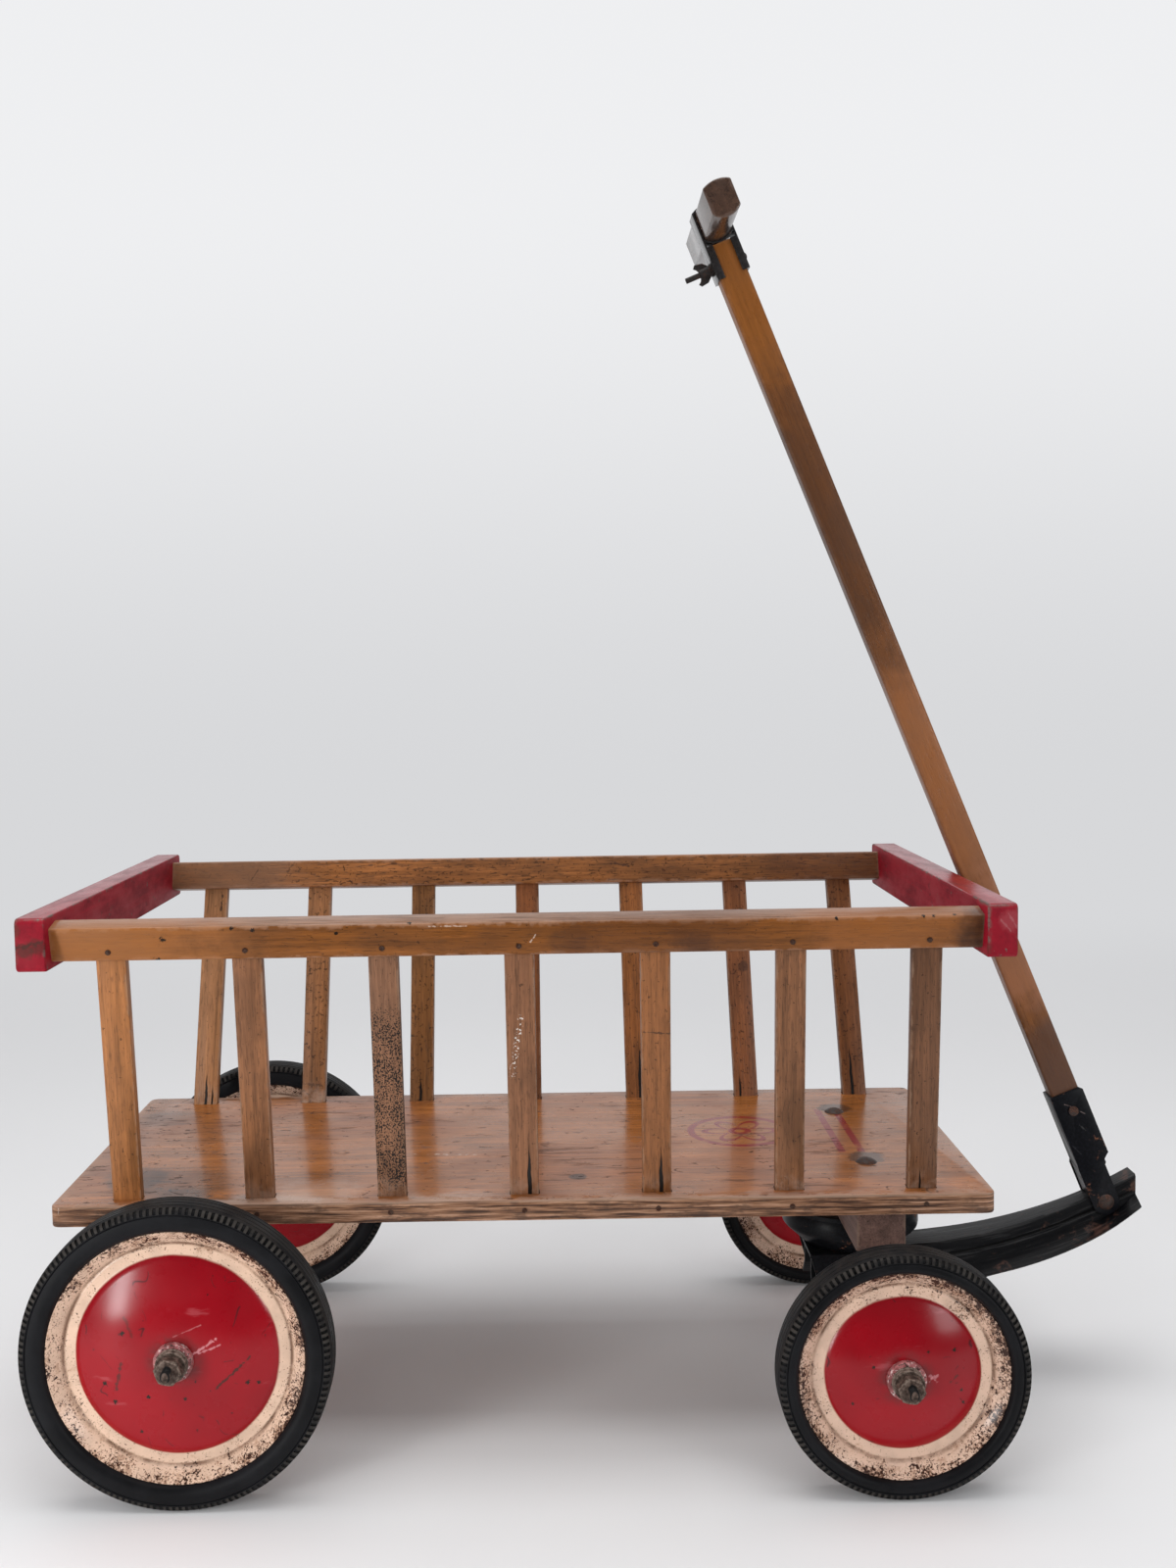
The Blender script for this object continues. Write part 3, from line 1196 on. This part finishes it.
for end, body in (("rear", "wagon"), ("front", "carriage")):
    middle = boxOf(f"{end}_axle")[0]
    here = moved(middle)
    nutRust = stackMaterial(f"axleRust_{end}", middle)
    nuts = place(copyOf(stack, f"{end}_nut_stacks"), here)
    joinInto(nuts, [place(copyOf(stack, f"{end}_far_stack"), here @ halfTurn)])
    settle(nuts, body, f"{end}_axle_nuts", nutRust)
    rod = place(copyOf(axlePattern, f"{end}_axle_rod"), here)
    settle(rod, body, f"{end}_axle", nutRust, 50)
remove(stack, axlePattern)
print("axles done")


# bolsters, hangers and turntable

bolster = {
    "chamfer": 6.0,
    "edge": 1.5,
    "front": (0.13, 0.075, 0.06),
    "rear": (0.12, 0.066, 0.05),
    "wood": {"coat": 0.0, "roughness": 0.6, "wear": 2.5, "wearColour": (0.22, 0.15, 0.11)},
}
for number, end in enumerate(("front", "rear")):
    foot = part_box(f"{end}_bolster")[0].z + 1 * mm
    block, matrix, half = crossBlock(f"{end}_bolster_block", f"{end}_bolster")
    roundEdges(block, bolster["chamfer"], 1, lambda middle, way: abs(way.x) > 0.99 and middle.z < foot)
    roundEdges(block, bolster["edge"], 2, lambda middle, way: True)
    wood = woodMaterial(f"bolsterWood_{end}", matrix, half, bolster[end], 30 + number, **bolster["wood"])
    settle(block, "wagon", f"{end}_bolster", wood)

dishMiddle, dishSize = boxOf("turntable_dish")
height = dishSize.z / mm
dishOutline = [(6.1, 0), (43, 0), (45.5, 0.6), (47.5, 2.2), (61.5, 15), (63.4, 17.3), (64, 20),
               (64, height - 0.8), (63.2, height), (61.8, height), (61, height - 0.8), (61, 20.5),
               (59.6, 17.4), (45.6, 4.6), (43, 3), (6.1, 3), (6.1, 0)]
dish = turn("turntable_pan", dishOutline, 96)
place(dish, moved(dishMiddle - Vector((0, 0, dishSize.z / 2))) @ turned(quarterTurn, "X"))
settle(dish, "carriage", "turntable_dish", blackSteel, 50)

# the tongue's wear runs along its sweep; depth is taken from the crown down, in millimetres
tongue = {
    "centre": (0.249, 0, 0.631),
    "crown": 501.3,
    "groove": 12.5,       # depth of the pressed line
    "black": (0.0035, 0.0037, 0.0045),
    "grey": (0.05, 0.049, 0.05),
    "rust": (0.13, 0.062, 0.045),
    "rustAt": (           # under the pivot, at the tip and on the flange; radius, softness
        (208, 0, -482, 4, 16), (190, 0, -495, 4, 16), (238, 0, -447, 4, 10), (60, 0, -522, 2, 14),
    ),
}


def tongueMaterial():
    look = tongue
    material, shader = startMaterial("tongueSteel", Specular_IOR_Level=0.16)
    coords = coordinates(shader)
    fromCentre = shift(coords, -Vector(look["centre"]))
    flat = stretch(fromCentre, (1, 0, 1))
    x, y, z = axes(fromCentre)
    depth = length(flat) - look["crown"] * mm
    angle = maths("ARCTAN2", x, z * -1)
    swept = addNode(coords.tree, "ShaderNodeCombineXYZ", {0: angle, 1: y, 2: depth})
    streak = noise(stretch(swept, (7, 330, 330)), 1, 4, 0.62)
    broad = noise(coords, 60, 5, 0.68)
    groove = remap(abs(depth - look["groove"] * mm), 1.6 * mm, 0.7 * mm)
    ridge = remap(abs(depth - (look["groove"] + 3) * mm), 1.5 * mm, 0.5 * mm) * remap(streak, 0.4, 0.6)
    crown = remap(depth, 2 * mm, 0.6 * mm) * remap(streak, 0.48, 0.62, 0.0, 0.8)
    scuffed = larger(crown, remap(streak, 0.56, 0.68) * 0.35, ridge * 0.5)
    colour = mixColour(scuffed, look["black"], look["grey"])
    colour = mixColour(groove, colour, (0.001, 0.001, 0.001))
    for *point, radius, soft in look["rustAt"]:
        broad = broad + spotMask(flat, point, radius, soft) * 0.13
    rustColour = toneSteps(streak, look["rust"], (0.4, 0.35), (0.6, 1))
    colour = mixColour(remap(broad, 0.6, 0.72, 0.0, 0.55), colour, rustColour)
    rough = remap(streak, 0.35, 0.65, 0.3, 0.55)
    return finishMaterial(material, colour, rough, broad + streak - groove * 4, 0.25)


clasp = {
    "base": (0.0035, 0.0038, 0.0052),
    "gloss": 0.16,
    "middle": boxOf("socket_screws")[0],
    "face": (1, 0),
    "strokes": (((-8, 6), (1, 3), 0.5, (0.3, 0.22, 0.21), 0.5),
                ((3, 1), (11, -3), 0.5, (0.26, 0.2, 0.19), 0.45),
                ((6, -14), (12, -19), 0.7, (0.06, 0.06, 0.06), 0.6),
                ((-4, -30), (8, -42), 0.8, (0.03, 0.03, 0.035), 0.6)),
}
claspSteel = metalMaterial("claspSteel", **clasp)
strapSteel = metalMaterial("strapSteel", base=(0.012, 0.0105, 0.01), roughness=0.26, gloss=0.6, coat=0.6,
                           amount=-0.1)
pressed = {
    "hanger_plates": ("rear_hangers", "wagon", 0.8, blackSteel),
    "axle_channel": ("axle_bracket", "carriage", 0.9, blackSteel),
    "tongue_channel": ("tongue", "carriage", 0.8, tongueMaterial()),
    "handle_clasp": ("handle_socket", "handle", 0.7, claspSteel),
    "grip_saddle": ("grip_strap", "handle", 0.6, strapSteel),
}
for name, (node, body, width, steel) in pressed.items():
    settle(softened(name, node, width), body, node, steel, 40)
print("pressed steel done")


# handle

handle = {
    "lean": 22.0,
    "shaft": (27.0, 20.0, 921.4),
    "corner": 3.0,
    "grip": (85, 13, 16),     # half size
    "gripEdge": 2.6,
    "shaftWood": {
        "tone": (0.187, 0.067, 0.018),
        "grime": 0.5,
        "roughness": 0.34,
        "coat": 0.3,
        "wear": 2.5,
        "wearColour": (0.3, 0.14, 0.06),
        "specks": 0.02,
        "face": (1, -10),     # front face, for marks
        "patches": ((-60, 0, 70, 110, (0.27, 0.105, 0.04), 0.7),
                    (-240, 0, 30, 70, (0.31, 0.13, 0.065), 0.7),
                    (185, 0, 90, 110, (0.075, 0.03, 0.013), 0.75),
                    (-365, 0, 30, 40, (0.085, 0.042, 0.027), 0.8),
                    (430, 0, 50, 90, (0.24, 0.08, 0.012), 0.6)),
    },
    "gripWood": {
        "tone": (0.062, 0.032, 0.02),
        "roughness": 0.24,
        "coat": 0.8,
        "sideCoat": 0.7,
        "gloss": 0.5,
        "relief": 0.04,
        "wear": 3.0,
        "wearColour": (0.12, 0.07, 0.05),
    },
}
leanBack = turned(math.radians(-handle["lean"]), "Y")
shaftSize = Vector(handle["shaft"]) * mm
shaftPlace = moved(boxOf("handle_shaft")[0]) @ leanBack
shaft = startBox("handle_shaft_bar", shaftSize)
roundEdges(shaft, handle["corner"], 4, runsAlong(2))
place(shaft, shaftPlace)
wood = woodMaterial("shaftWood", shaftPlace @ alongGrain, shaftSize.zyx / 2, seed=41,
                    **handle["shaftWood"])
settle(shaft, "handle", "handle_shaft", wood)

gripPlace = moved(boxOf("grip_bar")[0]) @ leanBack @ turned(quarterTurn, "Z")
grip = softened("grip_bar_hand", "grip_bar", handle["gripEdge"], 4, 30)
wood = woodMaterial("gripWood", gripPlace, Vector(handle["grip"]) * mm, seed=52, **handle["gripWood"])
settle(grip, "handle", "grip_bar", wood)
settle(softened("wing_nut_cast", "wing_nut", 0.5), "wing_nut", "wing_nut", darkIron, 50)
print("handle done")


# room, lights and camera

room = {
    "floorTone": (0.80, 0.80, 0.805),
    "wallLow": (0.68, 0.685, 0.7),
    "wallHigh": (0.86, 0.865, 0.88),
    "dark": (0.06, 0.06, 0.065),       # in front of the wagon, in gloss only
    "width": 16.0,
    "back": 4.6,
    "front": -9.0,
    "height": 6.0,
    "bend": 1.6,
}


# the far wall shows its own colour to the camera and in gloss; the floor keeps its shadows
def roomMaterial():
    material, shader = startMaterial("paleFloor")
    tree = material.node_tree
    coords = coordinates(shader)
    x, y, z = axes(coords)
    cloud = noise(coords, 0.8, 2)
    colour = mixColour(remap(cloud, 0.35, 0.65), room["floorTone"], shade(room["floorTone"], 0.985))
    feed(shader.inputs["Base Color"], colour)
    feed(shader.inputs["Roughness"], remap(cloud, 0.3, 0.7, 0.55, 0.6))
    glow = mixColour(remap(z, 0.2, 2.6), room["wallLow"], room["wallHigh"])
    path = allOutputs(addNode(tree, "ShaderNodeLightPath", {}))
    seen = larger(path["Is Camera Ray"], path["Is Glossy Ray"])
    ahead = path["Is Glossy Ray"] * remap(y, -0.5, -0.85)
    glow = mixColour(ahead, glow, room["dark"])
    plain = addNode(tree, "ShaderNodeEmission", {"Color": glow, "Strength": 1.0})
    shows = larger(seen * remap(y, 0.6, 2.8), ahead)
    both = addNode(tree, "ShaderNodeMixShader", {0: shows, 1: Wire(shader.outputs[0]), 2: plain})
    feed(tree.nodes["Material Output"].inputs["Surface"], both)
    return material


def isBackEdge(middle, way):
    return middle.y > room["back"] - 0.01


bpy.ops.mesh.primitive_plane_add(size=1, location=(0, (room["back"] + room["front"]) / 2, 0))
floor = nameActive("floor")
floor.scale = (room["width"], room["back"] - room["front"], 1)
bpy.ops.object.transform_apply()
editEdges(floor, isBackEdge)
bpy.ops.mesh.extrude_region_move(TRANSFORM_OT_translate={"value": (0, 0, room["height"])})
endEdit()
roundEdges(floor, room["bend"] / mm, 24, lambda middle, way: isBackEdge(middle, way) and middle.z < 0.01)
activate(floor)
bpy.ops.object.shade_smooth()
floor.data.materials.append(roomMaterial())


def addSoftbox(name, location, target, size, power, inGloss):
    bpy.ops.object.light_add(type="AREA", location=location)
    lamp = bpy.context.active_object
    lamp.name = name
    lamp.data.shape = "RECTANGLE"
    lamp.data.size, lamp.data.size_y = size
    lamp.data.energy = power
    lamp.visible_camera = False
    lamp.visible_glossy = inGloss
    lamp.rotation_euler = (Vector(target) - Vector(location)).to_track_quat("-Z", "Y").to_euler()


lamps = {                 # place, what it points at, size, power, whether gloss shows it
    "overheadLight": ((0, -0.3, 3.4), (0, 0, 0.3), (3.4, 2.6), 76, True),
    "leftLight": ((-1.7, -2.2, 1.2), (-0.1, 0, 0.4), (1.0, 1.4), 20, False),
    "rightLight": ((2.3, -2.4, 0.95), (0.1, 0, 0.4), (1.0, 1.3), 22, True),
    "lowLeftLight": ((-1.05, -1.12, 0.24), (-0.4, -0.24, 0.16), (0.16, 0.44), 5.0, True),
}
for name, values in lamps.items():
    addSoftbox(name, *values)

world = bpy.data.worlds.new("studio")
bpy.context.scene.world = world
world.use_nodes = True
path = allOutputs(addNode(world.node_tree, "ShaderNodeLightPath", {}))
around = mixColour(path["Is Glossy Ray"], (0.44, 0.44, 0.45), (0.1, 0.1, 0.11))
around = mixColour(path["Is Camera Ray"], around, (0.84, 0.85, 0.87))
feed(world.node_tree.nodes["Background"].inputs["Color"], around)

view = {
    "location": (-0.05227, -1.45822, 0.67085),
    "yaw": -0.0011,
    "pitch": 0.0748,
    "roll": 0.0158,
    "lens": 35.815,
    "shiftX": 0.0225,
    "shiftY": 0.0064,
}
yaw, pitch, roll = view["yaw"], view["pitch"], view["roll"]
forward = Vector((math.sin(yaw) * math.cos(pitch), math.cos(yaw) * math.cos(pitch), -math.sin(pitch)))
level = Vector((math.cos(yaw), -math.sin(yaw), 0))
down = forward.cross(level)
right = math.cos(roll) * level + math.sin(roll) * down
up = math.sin(roll) * level - math.cos(roll) * down
bpy.ops.object.camera_add(location=view["location"])
camera = bpy.context.active_object
camera.rotation_euler = Matrix((right, up, -forward)).transposed().to_euler()
camera.data.lens = view["lens"]
camera.data.sensor_width = 36
camera.data.shift_x = view["shiftX"]
camera.data.shift_y = view["shiftY"]
scene = bpy.context.scene
scene.camera = camera
scene.view_settings.view_transform = "Standard"
print("lights and camera done")
